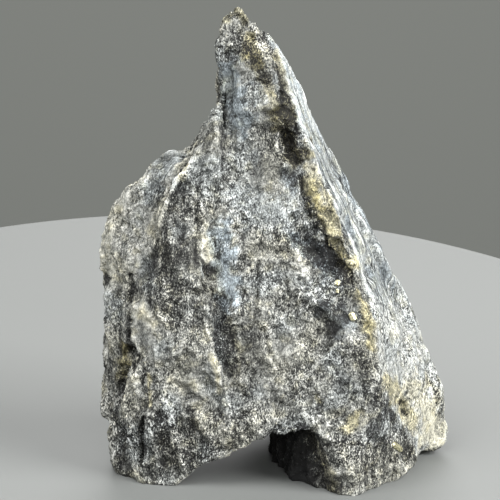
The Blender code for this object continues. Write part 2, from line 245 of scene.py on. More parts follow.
# Dark: slate patches, cracks and pits, which also hold painted shade; the hollow beside the right face and the
# recess under it, dark in colour and with painted shade; and painted shade under the far-right lobe and on the
# arch's wall.
DARK_AND_SHADE_STROKES = [
    ([(223, 19), (229, 15), (235, 16)], 0.5, 0.5),
    ([(246, 46), (250, 57), (256, 64)], 0.6, 0.4),
    ([(260, 73), (267, 81)], 0.4, 0.8),
    ([(277, 66), (281, 76), (285, 95), (290, 112)], 0.4, 0.8),
    ([(282, 100), (286, 113)], 0.5, 0.85),
    ([(286, 118), (291, 136), (297, 158)], 1.1, 0.9),
    ([(268, 68), (273, 82)], 0.4, 0.2),
    ([(288, 110), (294, 128), (298, 146), (301, 160)], 0.5, 1.0),
    ([(284, 136), (292, 152), (299, 162)], 0.5, 0.9),
    ([(301, 176), (302, 190), (309, 212), (318, 232)], 0.15, 0.6),
    ([(308, 206), (320, 226), (331, 242)], 0.5, 0.35),
    ([(297, 241), (308, 247), (320, 252)], 0.5, 0.6),
    # The recess under the ochre band: dark slate with painted shade.
    ([(319, 246), (327, 256), (338, 269)], 1.0, 1.0),
    ([(228, 338), (232, 368)], 0.6, 0.35),
    ([(298, 238), (310, 246), (326, 262), (340, 274)], 1.1, 0.35),
    ([(334, 262), (346, 268)], 0.3, 0.6),
    ([(346, 267), (351, 276), (357, 285)], 0.5, 0.9),
    ([(288, 172), (294, 186)], 0.7, 0.35),
    ([(326, 312), (338, 316), (330, 328)], 1.05, 0.75),
    ([(354, 346), (360, 362), (368, 388)], 0.6, 0.3),
    ([(382, 398), (388, 408), (395, 418)], 0.5, 0.6),
    ([(376, 430), (390, 446), (384, 468)], 1.0, 0.3),
    ([(404, 430), (410, 452)], 0.6, 0.5),
    ([(212, 306), (218, 330), (228, 366)], 0.9, 0.3),
    ([(250, 330), (258, 356)], 1.0, 0.3),
    ([(162, 164), (152, 190)], 1.3, 0.38),
    ([(168, 250), (186, 258)], 0.8, 0.45),
    ([(194, 262), (212, 268)], 0.6, 0.4),
    ([(192, 164), (178, 186), (165, 214)], 0.12, 0.35),
    ([(184, 186), (184, 203)], 0.12, 0.8),
    ([(197, 202), (196, 222)], 0.14, 0.8),
    ([(215, 240), (216, 258)], 0.10, 0.7),
    ([(98, 268), (108, 281)], 0.5, 0.85),
    ([(120, 350), (121, 368)], 0.6, 0.25),
    ([(158, 311), (168, 325)], 0.4, 0.35),
    ([(198, 412), (212, 424)], 0.6, 0.2),
    ([(130, 276), (129, 312), (128, 342)], 0.28, 0.75),
    ([(131, 344), (132, 358), (131, 372)], 0.24, 1.0),
    ([(126, 374), (120, 398), (113, 418)], 0.7, 0.4),
    ([(142, 418), (140, 430), (142, 446), (138, 466)], 0.3, 1.0),
    ([(160, 426), (158, 446), (162, 470)], 0.5, 0.3),
    ([(186, 396), (190, 424), (186, 444)], 0.4, 0.3),
    ([(120, 428), (122, 452), (130, 474)], 1.0, 0.45),
    ([(160, 420), (168, 446), (190, 462)], 1.2, 0.3),
    # Painted shade on the underside of the far-right lobe.
    ([(424, 454), (441, 448)], 0.35, 0.9),
    ([(223, 97), (224, 112), (225, 127)], 0.15, 1.0),
    ([(204, 428), (214, 446)], 0.6, 0.4),
    ([(432, 380), (440, 405), (441, 430)], 0.5, 0.45),
    ([(250, 74), (252, 100)], 0.5, 0.12),
    ([(400, 400), (401, 404)], 0.3, 0.9),
    ([(403, 410), (405, 414)], 0.25, 0.9),
    ([(364, 272), (371, 287)], 0.15, 0.7),
    ([(290, 62), (296, 76), (304, 92)], 0.12, 0.8),
    ([(304, 92), (311, 108), (318, 124)], 0.12, 0.5),
    ([(292, 60), (302, 80), (312, 102)], 0.35, 0.22),
    ([(298, 98), (306, 116), (314, 134)], 0.1, 0.4),
    ([(326, 150), (336, 170), (346, 190)], 0.12, 0.4),
    ([(258, 264), (256, 282), (257, 296)], 0.09, 0.7),
    ([(292, 382), (300, 390)], 0.2, 0.4),
    # Painted shade on the arch's inner wall.
    ([(272, 442), (282, 458), (298, 476)], 1.3, 0.9),
    ([(294, 436), (300, 456), (308, 478)], 0.9, 0.8),
    ([(305, 434), (314, 458), (327, 486)], 0.5, 0.45),
]
# Pale: veins, cream lumps and blocks, the light edge of the right face, and bright specks in the hollow, which are
# painted highlights.
PALE_STROKES = [
    ([(236, 208), (266, 213), (296, 222)], 1.5, 0.15),
    ([(410, 390), (428, 406), (435, 440)], 2.0, 0.35),
    ([(330, 232), (341, 248), (352, 266)], 0.6, 0.85),
    ([(240, 27), (250, 33), (263, 50), (272, 64)], 0.8, 0.5),
    ([(256, 30), (264, 42), (274, 60)], 0.6, 0.5),
    ([(203, 266), (208, 282)], 0.4, 0.3),
    ([(262, 88), (268, 98), (275, 110)], 0.35, 0.35),
    ([(270, 84), (275, 100)], 0.3, 0.3),
    ([(224, 30), (226, 44)], 0.5, 0.3),
    ([(241, 15), (246, 22)], 0.5, 0.35),
    ([(228, 48), (239, 53)], 0.6, 0.3),
    ([(229, 68), (235, 92), (240, 122)], 1.0, 0.1),
    ([(322, 216), (332, 232)], 0.5, 0.35),
    ([(187, 163), (183, 170), (179, 178)], 0.6, 1.05),
    ([(190, 158), (176, 180), (163, 208), (153, 247)], 0.15, 1.0),
    ([(206, 239), (211, 257)], 0.65, 1.3),
    ([(292, 247), (300, 262), (307, 278), (313, 288)], 0.34, 0.6),
    ([(313, 288), (324, 298)], 0.3, 0.5),
    ([(301, 238), (305, 243)], 0.15, 0.8),
    ([(136, 309), (145, 314), (151, 324)], 0.8, 0.85),
    ([(142, 318), (147, 328)], 0.5, 0.6),
    ([(139, 306), (137, 316)], 0.5, 0.5),
    ([(210, 354), (215, 370), (218, 392)], 0.4, 0.7),
    ([(149, 375), (149, 390), (151, 405)], 0.2, 0.7),
    ([(359, 291), (364, 306), (369, 324), (372, 342)], 0.4, 0.35),
    ([(204, 310), (210, 340)], 0.3, 0.5),
    ([(222, 432), (218, 442)], 0.7, 0.5),
    ([(250, 418), (296, 408), (300, 420)], 0.8, 0.2),
    ([(306, 404), (322, 430), (336, 466)], 0.7, 0.4),
    ([(262, 318), (272, 342), (284, 386)], 0.5, 0.3),
    ([(260, 340), (276, 372)], 0.14, 0.6),
    ([(262, 88), (258, 104)], 0.4, 0.5),
    ([(103, 300), (106, 330)], 0.8, 0.3),
    ([(306, 162), (318, 176)], 0.5, 0.35),
    ([(312, 194), (319, 208)], 0.5, 0.35),
    ([(318, 165), (331, 195), (345, 226), (355, 250), (361, 270), (370, 294), (377, 318)], 0.2, 0.9),
    ([(222, 234), (226, 264), (230, 298)], 1.0, 0.5),
    ([(347, 429), (352, 423), (357, 416)], 0.4, 0.6),
    ([(390, 466), (391, 464)], 0.2, 1.0),
    # Painted highlights in the hollow beside the right face.
    ([(284, 130), (287, 136)], 0.13, 0.6),
    ([(290, 146), (293, 152)], 0.13, 0.6),
    ([(281, 120), (284, 124)], 0.15, 0.6),
    ([(294, 134), (297, 142)], 0.12, 0.6),
    ([(286, 142), (288, 145)], 0.12, 0.5),
    ([(297, 152), (300, 158)], 0.12, 0.5),
    ([(206, 226), (209, 236)], 0.4, 0.5),
    ([(107, 316), (112, 334)], 0.6, 0.35),
    ([(304, 138), (311, 154)], 0.3, 0.3),
    ([(366, 330), (372, 352)], 0.35, 0.35),
    ([(406, 469), (407, 468)], 0.2, 0.9),
]
# Blue-grey: clean splits on the front and the shoulder, and the slate patches.
BLUE_STROKES = [
    ([(226, 66), (234, 92), (242, 122)], 1.3, 0.9),
    ([(221, 232), (225, 262), (230, 299)], 1.1, 1.0),
    ([(287, 172), (294, 187)], 0.8, 0.7),
    ([(240, 200), (262, 212), (290, 215)], 1.8, 0.45),
    ([(238, 148), (252, 160)], 0.8, 0.35),
    ([(298, 240), (318, 254), (332, 268)], 1.0, 0.9),
    ([(328, 312), (342, 322)], 1.1, 0.7),
    ([(180, 158), (165, 172), (150, 192)], 0.9, 0.5),
    ([(214, 320), (226, 366)], 0.8, 0.5),
]
# Where the rock split cleanly and lies smooth, with few grains standing out.
SMOOTH_STROKES = [
    ([(228, 66), (236, 92), (244, 122)], 1.2, 0.6),
    ([(287, 172), (294, 187)], 0.8, 0.7),
    ([(326, 312), (340, 320), (334, 328)], 1.0, 0.8),
    ([(250, 326), (258, 360)], 1.0, 0.5),
    ([(168, 250), (186, 258)], 0.8, 0.6),
    ([(222, 236), (226, 264), (230, 296)], 0.9, 0.5),
    ([(194, 262), (212, 268)], 0.6, 0.6),
    ([(165, 172), (150, 196)], 0.9, 0.4),
]
# What stands up from the face and what is sunk in it: strokes with half width and height in millimetres.
RELIEF_STROKES = [
    ([(223.6, 97), (224.4, 112), (224.7, 127)], 0.20, -0.7),
    ([(142, 418), (140, 430), (142, 446), (138, 466)], 0.22, -1.1),
    ([(258, 264), (256, 282), (257, 296)], 0.08, -0.1),
    ([(215, 238), (217, 258)], 0.10, -0.15),
    ([(261, 330), (268, 345), (279, 372)], 0.12, -0.2),
    ([(197, 200), (196, 224)], 0.14, -0.2),
    ([(192, 164), (178, 186), (165, 214)], 0.12, -0.1),
    ([(204, 314), (213, 342), (226, 373)], 0.16, -0.25),
    ([(130, 276), (129, 312), (128, 342)], 0.15, -0.35),
    ([(126, 374), (119, 396)], 0.3, -0.35),
    ([(400, 402), (403, 405)], 0.2, -0.3),
    ([(402, 411), (405, 413)], 0.18, -0.25),
    ([(300, 176), (303, 200), (308, 220)], 0.16, -0.2),
    ([(304, 168), (311, 190), (322, 214), (338, 244)], 0.45, 0.25),
    ([(334, 264), (346, 268), (356, 284)], 0.4, -0.45),
    ([(304, 246), (322, 258)], 0.5, -0.2),
    ([(293, 248), (300, 262), (308, 278)], 0.25, 0.12),
    ([(134, 312), (150, 324)], 0.8, 0.15),
    ([(204, 300), (209, 330), (219, 372)], 0.35, 0.25),
    ([(281, 122), (285, 134), (291, 146), (296, 156)], 1.1, 0.65),
    ([(284, 128), (288, 134)], 0.25, 0.3),
    ([(288, 142), (294, 148)], 0.25, 0.3),
    ([(324, 238), (336, 255), (346, 268)], 1.0, 0.6),
    ([(333, 236), (341, 247), (349, 260)], 0.4, 0.5),
    ([(258, 113), (272, 112), (282, 114)], 1.2, 0.15),
    ([(226, 120), (250, 122)], 1.2, 0.2),
    ([(189, 154), (177, 175), (164, 206), (154, 246)], 0.25, 0.2),
    ([(149, 375), (149, 390), (151, 405)], 0.2, 0.15),
    ([(204, 262), (208, 274), (212, 286)], 0.7, 0.5),
    ([(228, 350), (233, 368)], 0.7, 0.3),
    ([(210, 354), (215, 370), (218, 392)], 0.35, 0.2),
    ([(260, 73), (267, 82)], 0.25, -0.12),
    ([(330, 438), (345, 462), (352, 480)], 0.5, 0.2),
    ([(290, 62), (296, 76), (304, 92)], 0.12, -0.25),
    ([(131, 192), (142, 183), (152, 173), (161, 163), (170, 158)], 1.0, 0.5),
    ([(226, 18), (222, 30)], 0.5, 0.35),
    ([(252, 27), (257, 33)], 0.5, 0.35),
    ([(227, 14), (231, 11)], 0.4, -0.6),
    ([(238, 11), (241, 12)], 0.3, 0.4),
    ([(218, 107), (219, 105)], 0.25, 0.5),
    ([(352, 202), (362, 220), (374, 242), (384, 262), (392, 280)], 0.6, 0.4),
    ([(423, 350), (431, 370), (438, 390), (440, 408)], 0.6, 0.35),
    ([(106, 396), (107, 412)], 0.6, 0.45),
    ([(114, 448), (116, 462), (121, 474)], 0.6, 0.45),
    ([(129, 348), (130, 370)], 0.5, -0.3),
    ([(152, 418), (152, 440), (156, 466)], 0.35, 0.3),
    ([(172, 420), (176, 446), (184, 470)], 0.35, 0.3),
    ([(130, 420), (129, 446), (132, 466)], 0.35, 0.25),
]


def linear(hex_colour):
    """An sRGB hex colour as the linear numbers that the shader works in."""
    shares = [int(hex_colour[i:i + 2], 16) / 255.0 for i in (1, 3, 5)]
    return np.array([s / 12.92 if s <= 0.04045 else ((s + 0.055) / 1.055) ** 2.4 for s in shares])


# The rock from its black mica through greys to its white quartz and feldspar, and what its stains do to them.
ROCK_STOPS = [0.0, 0.25, 0.5, 0.75, 1.0]
ROCK_TONES = [linear(c) for c in ("#111110", "#494a47", "#7b7c77", "#b0b0a9", "#d6d5ce")]
BLUE_TINT = np.array((0.88, 1.0, 1.17))
OCHRE_TINT = np.array((1.15, 1.03, 0.64))


def coordinates(mesh):
    """A mesh's vertices, one row each."""
    found = np.empty(len(mesh.vertices) * 3)
    mesh.vertices.foreach_get("co", found)
    return found.reshape(-1, 3)


def directions(mesh):
    """The normals at a mesh's vertices, one row each."""
    found = np.empty(len(mesh.vertices) * 3)
    mesh.vertices.foreach_get("normal", found)
    return found.reshape(-1, 3)


def unit(rows):
    """Each row at a length of 1."""
    return rows / np.maximum(np.linalg.norm(rows, axis=1), 1e-9)[:, None]


def step_between(low, high, values):
    """0 up to low and 1 from high, with a smooth step between them."""
    share = np.clip((values - low) / (high - low), 0.0, 1.0)
    return share * share * (3.0 - 2.0 * share)


def in_photo(places):
    """Where the photograph shows places, in its pixels."""
    from_eye = places - np.array(EYE)
    depth = -(from_eye @ np.array(TOWARD_CAMERA)) * PIXEL_SPREAD
    across = PHOTO_CENTRE + from_eye[:, 0] / depth
    down = PHOTO_CENTRE - (from_eye @ np.array(CAMERA_UP)) / depth
    return np.stack([across, down], axis=1)


def inside(pixels, corners, wander):
    """1 inside a face's corners and 0 outside, over a narrow border that wanders by some pixels."""
    odd = np.zeros(len(pixels), bool)
    nearest = np.full(len(pixels), 1e6)
    for start, end in zip(corners, corners[1:] + corners[:1]):
        start, end = np.array(start, float), np.array(end, float)
        along = end - start
        share = np.clip(((pixels - start) @ along) / (along @ along), 0.0, 1.0)
        nearest = np.minimum(nearest, np.linalg.norm(pixels - start - share[:, None] * along, axis=1))
        spans = (start[1] > pixels[:, 1]) != (end[1] > pixels[:, 1])
        if along[1] != 0.0:
            odd ^= spans & (pixels[:, 0] < start[0] + (pixels[:, 1] - start[1]) * along[0] / along[1])
    return step_between(-FACE_BORDER, FACE_BORDER, np.where(odd, nearest, -nearest) + wander)


def on_stone(tree, pixel):
    """The place on the stone that the photograph shows at a pixel, or nothing where it shows no stone."""
    ray = -TOWARD_CAMERA
    ray += Vector((1.0, 0.0, 0.0)) * ((pixel[0] - PHOTO_CENTRE) * PIXEL_SPREAD)
    ray -= CAMERA_UP * ((pixel[1] - PHOTO_CENTRE) * PIXEL_SPREAD)
    return tree.ray_cast(EYE, ray.normalized())[0]


def stroke_on_stone(tree, pixels):
    """A stroke's places on the stone, about half a millimetre apart."""
    found = []
    for start, end in zip(pixels, pixels[1:]):
        steps = max(1, round(math.dist(start, end) / STROKE_STEP))
        for i in range(steps + 1):
            share = i / steps
            pixel = (start[0] + (end[0] - start[0]) * share, start[1] + (end[1] - start[1]) * share)
            spot = on_stone(tree, pixel)
            if spot is not None:
                found.append(spot)
    return np.array([tuple(spot) for spot in found]).reshape(-1, 3)


def distance_to_stroke(places, stroke):
    """How far each place is from a stroke on the stone, or 1 where there is no stroke."""
    nearest = np.full(len(places), 1.0)
    for start, end in zip(stroke, stroke[1:]):
        along = end - start
        length = float(along @ along)
        if length < 1e-12 or length > STROKE_BREAK ** 2:
            continue
        share = np.clip(((places - start) @ along) / length, 0.0, 1.0)
        gap = np.linalg.norm(places - start - share[:, None] * along, axis=1)
        nearest = np.minimum(nearest, gap)
    return nearest


def stroke_weights(places, ragged, strokes, tree):
    """How strongly a set of strokes colours each place, from 0 to 1, with ragged edges."""
    weight = np.zeros(len(places))
    for pixels, half_width, strength in strokes:
        reach = half_width * MM
        gap = distance_to_stroke(places, stroke_on_stone(tree, pixels)) + ragged * reach
        weight = np.maximum(weight, strength * (1.0 - step_between(reach * 0.4, reach * 1.6, gap)))
    return weight


def noise_at(places, size, seed):
    """Smooth noise from -1 to 1 with lumps of a size in millimetres; each seed gives another pattern."""
    shift = Vector((seed * 7.31, seed * 3.17, seed * 5.77))
    scale = 1.0 / (size * MM)
    return np.array([noise.noise(Vector(place) * scale + shift) for place in places])


def squeezed(places, thinness):
    """Places moved apart across the layers, so that a pattern on them comes out flat along the layers."""
    return places + (places @ ACROSS_LAYERS)[:, None] * ACROSS_LAYERS * (1.0 / thinness - 1.0)


def down_the_face(places, length):
    """Places moved so that a pattern on them is drawn out down the face, and fans out from under the tip."""
    down = places @ UP_THE_LAYERS
    spread = 1.0 + (FAN_TOP - down) / FAN_TOP
    moved = squeezed(places, 0.5) + (down * (1.0 / length - 1.0))[:, None] * UP_THE_LAYERS
    moved[:, 0] = (places[:, 0] - LOOKS_AT.x) * FAN_SPREAD / spread
    return moved


def chip_heights(places, size, seed):
    """A random height for each flat chip, from -1 to 1, with a narrow slope between neighbours."""
    scale = 1.0 / (size * MM)
    shift = Vector((seed * 2.3, seed * 4.1, seed * 1.7))
    heights = np.empty(len(places))
    for i, place in enumerate(places):
        spacing, centres = noise.voronoi(Vector(place) * scale + shift)
        first = noise.cell(centres[0] * 37.0)
        second = noise.cell(centres[1] * 37.0)
        share = 0.5 * max(0.0, 1.0 - (spacing[1] - spacing[0]) / 0.10)
        heights[i] = (first * (1.0 - share) + second * share) * 2.0 - 1.0
    return heights


def edge_on(facings):
    """0 where the face lies along the layers, 1 where it cuts straight across them."""
    return np.sqrt(np.clip(1.0 - (facings @ ACROSS_LAYERS) ** 2, 0.0, 1.0))


def relief(places, facings, patches):
    """How far chips, layers and grit stand out at each place, in millimetres."""
    edge = edge_on(facings)
    height = 0.07 * chip_heights(squeezed(places, 0.35), 2.1, 1)
    height += 0.06 * chip_heights(squeezed(places, 0.4), 0.9, 2)
    layers = 0.12 * noise_at(squeezed(places, 0.08), 2.6, 5) + 0.08 * noise_at(squeezed(places, 0.1), 1.1, 6)
    height += edge * layers
    height += 0.05 * noise_at(places, 0.8, 7) + 0.06 * noise_at(places, 0.42, 8)
    height += 0.14 * patches["bark"] + 0.25 * patches["dark"] * noise_at(places, 0.7, 19)
    return height * (1.0 - 0.65 * patches["side"]) * (1.0 - 0.6 * patches["smooth"])


def rock_patches(places, facings, tree):
    """What the rock is like at each place: its value from black to white, its stains, its speckle and its kind."""
    ragged = noise_at(places, 1.1, 1) + 0.6 * noise_at(places, 0.45, 2)
    ochre = stroke_weights(places, ragged, OCHRE_STROKES, tree)
    dark = stroke_weights(places, ragged, DARK_AND_SHADE_STROKES, tree)
    pale = stroke_weights(places, ragged, PALE_STROKES, tree)
    blue = stroke_weights(places, ragged, BLUE_STROKES, tree)
    smooth = stroke_weights(places, ragged, SMOOTH_STROKES, tree)
    streaks = noise_at(squeezed(places, 0.1), 3.6, 4) + 0.6 * noise_at(squeezed(places, 0.08), 1.6, 12)
    pixels = in_photo(places)
    in_view = step_between(-0.05, 0.12, facings @ np.array(TOWARD_CAMERA))
    value = np.full(len(places), PLAIN_VALUE)
    speckle = np.ones(len(places))
    for corners, face_value, face_speckle in FACES.values():
        share = inside(pixels, corners, FACE_WANDER * ragged) * in_view
        value = value * (1.0 - share) + face_value * share
        speckle = speckle * (1.0 - share) + face_speckle * share
    side_by_facing = step_between(0.40, 0.62, facings[:, 0] + 0.08 * ragged)
    side_in_photo = inside(pixels, RIGHT_FACE, RIGHT_FACE_WANDER * ragged)
    side = side_by_facing * (1.0 - in_view) + side_in_photo * in_view
    towards_top = step_between(-SIDE_TOP_ROWS[1], -SIDE_TOP_ROWS[0], -pixels[:, 1])
    value = value * (1.0 - side) + (RIGHT_FACE_VALUE + SIDE_TOP_GAIN * towards_top) * side
    low_side = side * step_between(*LOW_SIDE_ROWS, pixels[:, 1])
    speckle = speckle * (1.0 - side) + 0.55 * side + 0.5 * low_side
    speckle = speckle * (1.0 - 0.6 * smooth) * (1.0 + 0.6 * dark)
    layered = edge_on(facings) ** 2 * (1.0 + 0.5 * side - 1.25 * low_side)
    bark = noise_at(down_the_face(places, 5.0), 1.5, 15) + 0.6 * noise_at(down_the_face(places, 4.0), 0.7, 16)
    bark *= (1.0 - side) * (0.5 + 0.7 * step_between(-BARK_COLUMNS[1], -BARK_COLUMNS[0], -pixels[:, 0]))
    speckle *= (0.9 + 0.7 * noise_at(places, 3.0, 17)) * (1.0 - 0.35 * np.clip(ochre, 0.0, 1.0))
    clouds = 0.06 * noise_at(places, 5.0, 3) + 0.08 * noise_at(places, 1.6, 13)
    value += (1.0 - 0.5 * side) * clouds + 0.13 * bark
    value += edge_on(facings) * (0.14 + 0.10 * side) * (1.0 - 0.7 * low_side) * streaks
    value += 0.36 * pale - 0.50 * dark - 0.07 * ochre + 0.10 * low_side
    # Where the dark strokes are strong, which paint dark stone and painted shade, the value is held under a low cap
    # broken by noise and pale strokes.
    hollow = 0.46 - 0.42 * dark + 0.5 * pale + 0.30 * noise_at(places, 0.9, 20)
    value = np.where(dark > 0.6, np.minimum(value, hollow), value)
    drift = noise_at(places, 3.6, 18)
    blue = np.maximum(blue, (side - 0.6 * low_side) * (0.35 + 0.5 * step_between(-0.1, 0.5, -streaks)))
    blue = np.maximum(blue, 0.35 * step_between(0.05, 0.4, drift))
    ochre = np.maximum(ochre, 0.15 * step_between(0.05, 0.4, -drift) * (1.0 - side))
    return {
        "value": value, "ochre": ochre, "blue": blue, "dark": dark, "smooth": smooth, "side": side,
        "speckle": speckle, "bark": bark, "layered": layered,
    }


def stain_tint(patches, warmth):
    """What the stains multiply the rock's colour by, as linear RGB rows."""
    blue = np.clip(patches["blue"] - patches["ochre"], 0.0, 1.0)[:, None]
    ochre = np.clip(patches["ochre"] + warmth, 0.0, 1.2)[:, None]
    return (1.0 + blue * (BLUE_TINT - 1.0)) * (1.0 + ochre * (OCHRE_TINT - 1.0))


def fine_stone():
    """The stone with a fine skin, the CAD form remeshed and freed of its facets, and a tree of the CAD form."""
    bm = bmesh.new()
    bm.from_mesh(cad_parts["schist_matrix"].data)
    bmesh.ops.remove_doubles(bm, verts=bm.verts, dist=1e-7)
    tree = BVHTree.FromBMesh(bm)
    mesh = bpy.data.meshes.new("schist_stone")
    bm.to_mesh(mesh)
    bm.free()
    stone = bpy.data.objects.new("schist_stone", mesh)
    bpy.context.scene.collection.objects.link(stone)
    remesh = stone.modifiers.new("fine skin", "REMESH")
    remesh.mode = "VOXEL"
    remesh.voxel_size = STONE_VOXEL
    smooth = stone.modifiers.new("no facets", "SMOOTH")
    smooth.factor = 0.5
    smooth.iterations = SMOOTHING_STEPS
    bpy.context.view_layer.update()
    graph = bpy.context.evaluated_depsgraph_get()
    stone.data = bpy.data.meshes.new_from_object(stone.evaluated_get(graph), depsgraph=graph)
    stone.modifiers.clear()
    return stone, tree


def standing_proud(mesh):
    """How far each vertex stands out, in millimetres, over the mean of the skin around it."""
    ends = np.empty(len(mesh.edges) * 2, np.int32)
    mesh.edges.foreach_get("vertices", ends)
    one, other = ends[0::2], ends[1::2]
    count = len(mesh.vertices)
    neighbours = np.bincount(one, minlength=count) + np.bincount(other, minlength=count)
    places = coordinates(mesh)
    mean = places.copy()
    for _ in range(PROUD_REACH):
        total = [
            np.bincount(one, mean[other, k], count) + np.bincount(other, mean[one, k], count)
            for k in range(3)
        ]
        mean = np.stack(total, axis=1) / neighbours[:, None]
    return np.sum((places - mean) * directions(mesh), axis=1) / MM


def clear_of_crystals(places, margin):
    """1 away from the crystals, falling to 0 on them, so that nothing buries them."""
    share = np.ones(len(places))
    for name in sorted(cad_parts):
        if name.startswith("calaverite"):
            bm = bmesh.new()
            bm.from_mesh(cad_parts[name].data)
            crystal = BVHTree.FromBMesh(bm)
            bm.free()
            centre = np.array(sum(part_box(name), Vector()) / 2)
            for i in np.flatnonzero(np.linalg.norm(places - centre, axis=1) < CRYSTAL_REACH):
                gap = crystal.find_nearest(Vector(places[i]))[3]
                share[i] = min(share[i], step_between(CRYSTAL_RIM, CRYSTAL_RIM + margin, gap))
    return share


def store_colour(mesh, name, rows):
    """Keeps a colour for each vertex."""
    attribute = mesh.color_attributes.new(name, "FLOAT_COLOR", "POINT")
    full = np.ones((len(rows), 4), np.float32)
    full[:, :3] = rows
    attribute.data.foreach_set("color", full.ravel())


def store_number(mesh, name, values):
    """Keeps a number for each vertex."""
    attribute = mesh.attributes.new(name, "FLOAT", "POINT")
    attribute.data.foreach_set("value", values.astype(np.float32))


def store_look(mesh, value, patches, warmth, corners):
    """Keeps on a mesh what its material reads, each row for that many vertices in turn."""
    store_colour(mesh, "stain_tint", np.repeat(stain_tint(patches, warmth), corners, axis=0))
    store_number(mesh, "rock_value", np.repeat(value, corners))
    store_number(mesh, "speckle", np.repeat(patches["speckle"], corners))
    store_number(mesh, "layered", np.repeat(patches["layered"], corners))


def roughen(stone, tree):
    """Moves the fine skin along its normals, notes the rock's colours on it, and gives its value shift: wear on
    what stands out, dirt and painted shade in what lies low.
    """
    places = coordinates(stone.data)
    facings = directions(stone.data)
    patches = rock_patches(places, facings, tree)
    height = relief(places, facings, patches)
    height *= clear_of_crystals(places, RELIEF_SLOPE)
    wobble = (0.08 * noise_at(places, 0.5, 9) + 0.30 * noise_at(places, 1.8, 10)) * MM
    for pixels, half_width, rise in RELIEF_STROKES:
        gap = np.abs(distance_to_stroke(places, stroke_on_stone(tree, pixels)) + wobble)
        height += rise * (1.0 - step_between(half_width * 0.3 * MM, half_width * 1.7 * MM, gap))
    off_floor = step_between(STILL_BELOW, FREE_ABOVE, places[:, 2])
    moved = places + facings * (height * off_floor * MM)[:, None]
    moved[:, 2] = np.maximum(moved[:, 2], 0.0)
    stone.data.vertices.foreach_set("co", moved.ravel())
    stone.data.update()
    # The value shift: darker in what lies low, as dirt and painted shade, and paler on what stands out, as wear.
    wear_and_painted_shade = np.clip(standing_proud(stone.data) * WEAR_AND_SHADE_GAIN - WEAR_AND_SHADE_USUAL, -WEAR_AND_SHADE_MOST, WEAR_AND_SHADE_MOST)
    wear_and_painted_shade *= 1.0 - 0.5 * patches["side"]
    value = patches["value"] + wear_and_painted_shade + 0.08 * patches["speckle"] * noise_at(places, 0.5, 11)
    warmth = 0.25 * step_between(0.1, 0.5, noise_at(places, 0.9, 14))
    store_look(stone.data, value, patches, warmth, 1)
    return wear_and_painted_shade


def scattered(stone, wear_and_painted_shade, count, random):
    """Random places on the stone's skin, with how the skin faces there and its value shift for wear, dirt and
    painted shade.
    """
    mesh = stone.data
    mesh.calc_loop_triangles()
    corners = np.empty(len(mesh.loop_triangles) * 3, np.int32)
    mesh.loop_triangles.foreach_get("vertices", corners)
    corners = corners.reshape(-1, 3)
    points = coordinates(mesh)[corners]
    smooth_facings = directions(mesh)[corners].mean(axis=1)
    area = np.linalg.norm(np.cross(points[:, 1] - points[:, 0], points[:, 2] - points[:, 0]), axis=1)
    chosen = random.choice(len(area), count, p=area / area.sum())
    a, b = random.random((2, count))
    fold = a + b > 1.0
    a[fold], b[fold] = 1.0 - a[fold], 1.0 - b[fold]
    base = points[chosen]
    places = base[:, 0] + a[:, None] * (base[:, 1] - base[:, 0]) + b[:, None] * (base[:, 2] - base[:, 0])
    return places, unit(smooth_facings[chosen]), wear_and_painted_shade[corners].mean(axis=1)[chosen]


# A chip's eight corners, as signs along its axes, and its six sides, as corners in turn.
BOX_SIGNS = np.array([(x, y, z) for z in (-1, 1) for y in (-1, 1) for x in (-1, 1)], float)
BOX_SIDES = np.array([(0, 2, 3, 1), (4, 5, 7, 6), (0, 1, 5, 4), (2, 6, 7, 3), (0, 4, 6, 2), (1, 3, 7, 5)])


def chips_mesh(name, corners):
    """One mesh of many six-sided chips, from their corners, eight to a chip."""
    count = len(corners)
    faces = (np.arange(count) * 8)[:, None, None] + BOX_SIDES[None]
    mesh = bpy.data.meshes.new(name)
    mesh.vertices.add(count * 8)
    mesh.vertices.foreach_set("co", corners.ravel())
    mesh.loops.add(count * 24)
    mesh.loops.foreach_set("vertex_index", faces.ravel().astype(np.int32))
    mesh.polygons.add(count * 6)
    mesh.polygons.foreach_set("loop_start", np.arange(count * 6, dtype=np.int32) * 4)
    mesh.update(calc_edges=True)
    return mesh


